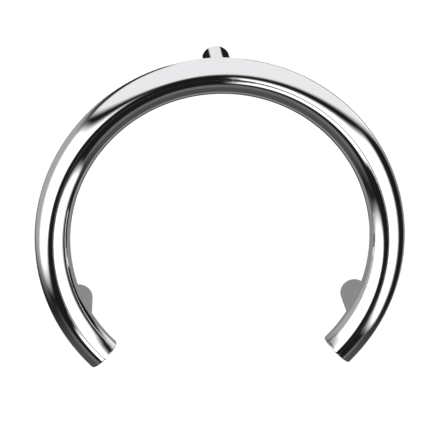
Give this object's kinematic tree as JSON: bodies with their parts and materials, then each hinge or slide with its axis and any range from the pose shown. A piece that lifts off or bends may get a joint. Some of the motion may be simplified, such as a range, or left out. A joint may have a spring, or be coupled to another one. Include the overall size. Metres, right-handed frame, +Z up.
{
  "type": "wall-mounted grab ring",
  "caption": "C-shaped grab ring of polished chrome tube, closed by end caps and held off the wall on short posts, to go round a shower valve.",
  "frame": {"origin": "on the wall surface, at the centre of the circle that the three wall screws lie on, straight behind the ring's own centre", "axes": "+X is right seen from the front, +Y points into the wall, and +Z is up"},
  "size_m": [0.3318, 0.0879, 0.2829],
  "materials": {
    "chrome": "mirror-polished chrome plate",
    "cap_chrome": "polished chrome plate with fine lathe rings",
    "post_chrome": "polished chrome plate",
    "boss_steel": "turned stainless steel",
    "washer_steel": "plain stainless steel",
    "screw_steel": "plain stainless steel thread",
    "gasket_rubber": "matt black sheet rubber",
    "o_ring_rubber": "satin black rubber"
  },
  "bodies": {
    "wall_mounts": {"wall_boss_top": "boss_steel", "wall_gasket_top": "gasket_rubber", "o_ring_top": "o_ring_rubber", "head_washer_top": "washer_steel", "wall_boss_left": "boss_steel", "wall_gasket_left": "gasket_rubber", "o_ring_left": "o_ring_rubber", "head_washer_left": "washer_steel", "wall_boss_right": "boss_steel", "wall_gasket_right": "gasket_rubber", "o_ring_right": "o_ring_rubber", "head_washer_right": "washer_steel"},
    "ring": {"ring_tube": "chrome", "end_cap_left": "cap_chrome", "end_cap_right": "cap_chrome", "post_top": "post_chrome", "post_left": "post_chrome", "post_right": "post_chrome"},
    "screw_top": {"set_screw_top": "screw_steel"},
    "screw_left": {"set_screw_left": "screw_steel"},
    "screw_right": {"set_screw_right": "screw_steel"}
  },
  "joints": [
    {"name": "ring_slide", "type": "slide", "parent": "wall_mounts", "child": "ring", "axis": [0, -1, 0], "range_m": [0, 0.03]},
    {"name": "set_screw_top_travel", "type": "slide", "parent": "ring", "child": "screw_top", "axis": [0, 0, -1], "range_m": [0, 0.002]},
    {"name": "set_screw_left_travel", "type": "slide", "parent": "ring", "child": "screw_left", "axis": [0, 0, -1], "range_m": [0, 0.002]},
    {"name": "set_screw_right_travel", "type": "slide", "parent": "ring", "child": "screw_right", "axis": [0, 0, -1], "range_m": [0, 0.002]}
  ]
}
